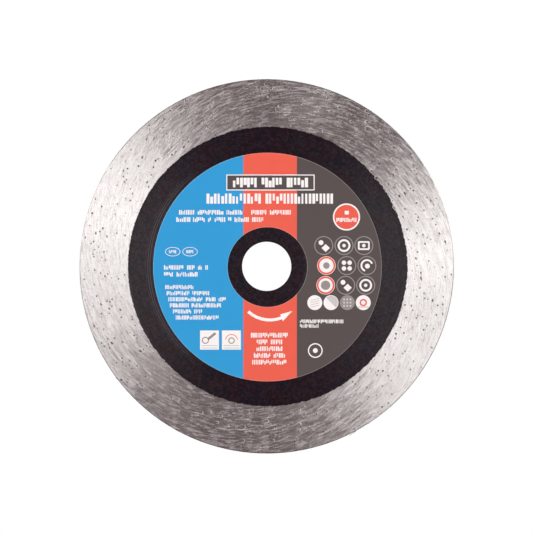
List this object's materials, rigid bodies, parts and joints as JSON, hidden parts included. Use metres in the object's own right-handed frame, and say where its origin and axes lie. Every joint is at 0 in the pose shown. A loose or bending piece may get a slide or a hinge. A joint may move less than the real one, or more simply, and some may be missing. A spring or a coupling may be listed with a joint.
{
  "type": "diamond blade",
  "caption": "Thin round cutting disc: black steel core with a plain centre bore, a wide continuous diamond rim and a round label on its front.",
  "frame": {"origin": "centre of the bore, halfway through the blade's thickness", "axes": "+Y along the spin axis, out of the back; the label faces -Y; +Z is the top of the printed label and +X is its right"},
  "size_m": [0.0761, 0.0012, 0.076],
  "materials": {
    "lacquered_steel": "thin satin black lacquer",
    "metal_bond": "ground sintered metal bond",
    "diamond": "clear faceted crystals",
    "adhesive": "clear acrylic adhesive",
    "label": "printed film in blue, red and grey"
  },
  "bodies": {
    "root": {"steel_core": "lacquered_steel", "diamond_rim": "metal_bond", "diamond_grit_front": "diamond", "diamond_grit_back": "diamond", "diamond_grit_edge": "diamond", "label_adhesive": "adhesive", "label_film": "label"}
  },
  "joints": []
}
